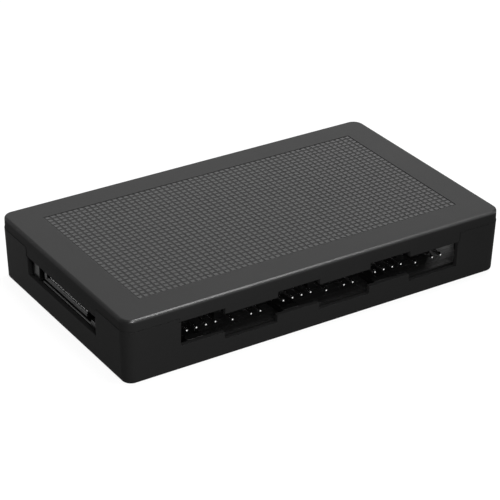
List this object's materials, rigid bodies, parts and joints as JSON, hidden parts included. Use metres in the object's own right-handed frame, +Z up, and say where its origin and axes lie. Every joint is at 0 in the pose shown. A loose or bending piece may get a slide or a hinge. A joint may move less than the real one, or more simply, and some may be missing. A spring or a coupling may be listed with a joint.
{
  "type": "fan and lighting splitter",
  "caption": "Flat moulded splitter box for a computer case, with a blade power inlet and paired fan and lighting pin ports.",
  "frame": {"origin": "centre of the box on the plane that its underside rests on", "axes": "+Z up through the cover; -Y out of the front row of ports; -X out of the power inlet"},
  "size_m": [0.106, 0.062, 0.0168],
  "materials": {
    "case_plastic": "fine moulded texture",
    "cover_plastic": "fine moulded texture with raised dots",
    "screw_steel": "plated",
    "board_laminate": "solder mask",
    "connector_plastic": "moulded",
    "contact_metal": "plated",
    "pin_metal": "tin plated",
    "chip_resin": "moulded resin",
    "capacitor_can": "drawn can",
    "fuse_coating": "coated",
    "ceramic": "fired",
    "resistor_film": "coated"
  },
  "bodies": {
    "root": {"base_shell": "case_plastic", "top_cover": "cover_plastic", "case_screws": "screw_steel", "circuit_board": "board_laminate", "power_inlet_housing": "connector_plastic", "power_inlet_contacts": "contact_metal", "front_fan_header_1": "connector_plastic", "front_fan_header_2": "connector_plastic", "front_fan_header_3": "connector_plastic", "rear_fan_header_1": "connector_plastic", "rear_fan_header_2": "connector_plastic", "rear_fan_header_3": "connector_plastic", "input_fan_header": "connector_plastic", "front_light_header_1": "connector_plastic", "front_light_header_2": "connector_plastic", "front_light_header_3": "connector_plastic", "rear_light_header_1": "connector_plastic", "rear_light_header_2": "connector_plastic", "rear_light_header_3": "connector_plastic", "input_light_header": "connector_plastic", "front_fan_pins_1": "pin_metal", "front_fan_pins_2": "pin_metal", "front_fan_pins_3": "pin_metal", "rear_fan_pins_1": "pin_metal", "rear_fan_pins_2": "pin_metal", "rear_fan_pins_3": "pin_metal", "input_fan_pins": "pin_metal", "front_light_pins_1": "pin_metal", "front_light_pins_2": "pin_metal", "front_light_pins_3": "pin_metal", "rear_light_pins_1": "pin_metal", "rear_light_pins_2": "pin_metal", "rear_light_pins_3": "pin_metal", "input_light_pins": "pin_metal", "fan_buffer_chip": "chip_resin", "light_buffer_chip": "chip_resin", "fan_power_capacitor": "capacitor_can", "light_power_capacitor": "capacitor_can", "fan_power_fuse": "fuse_coating", "light_power_fuse": "fuse_coating", "ceramic_capacitors": "ceramic", "chip_resistors": "resistor_film"}
  },
  "joints": []
}
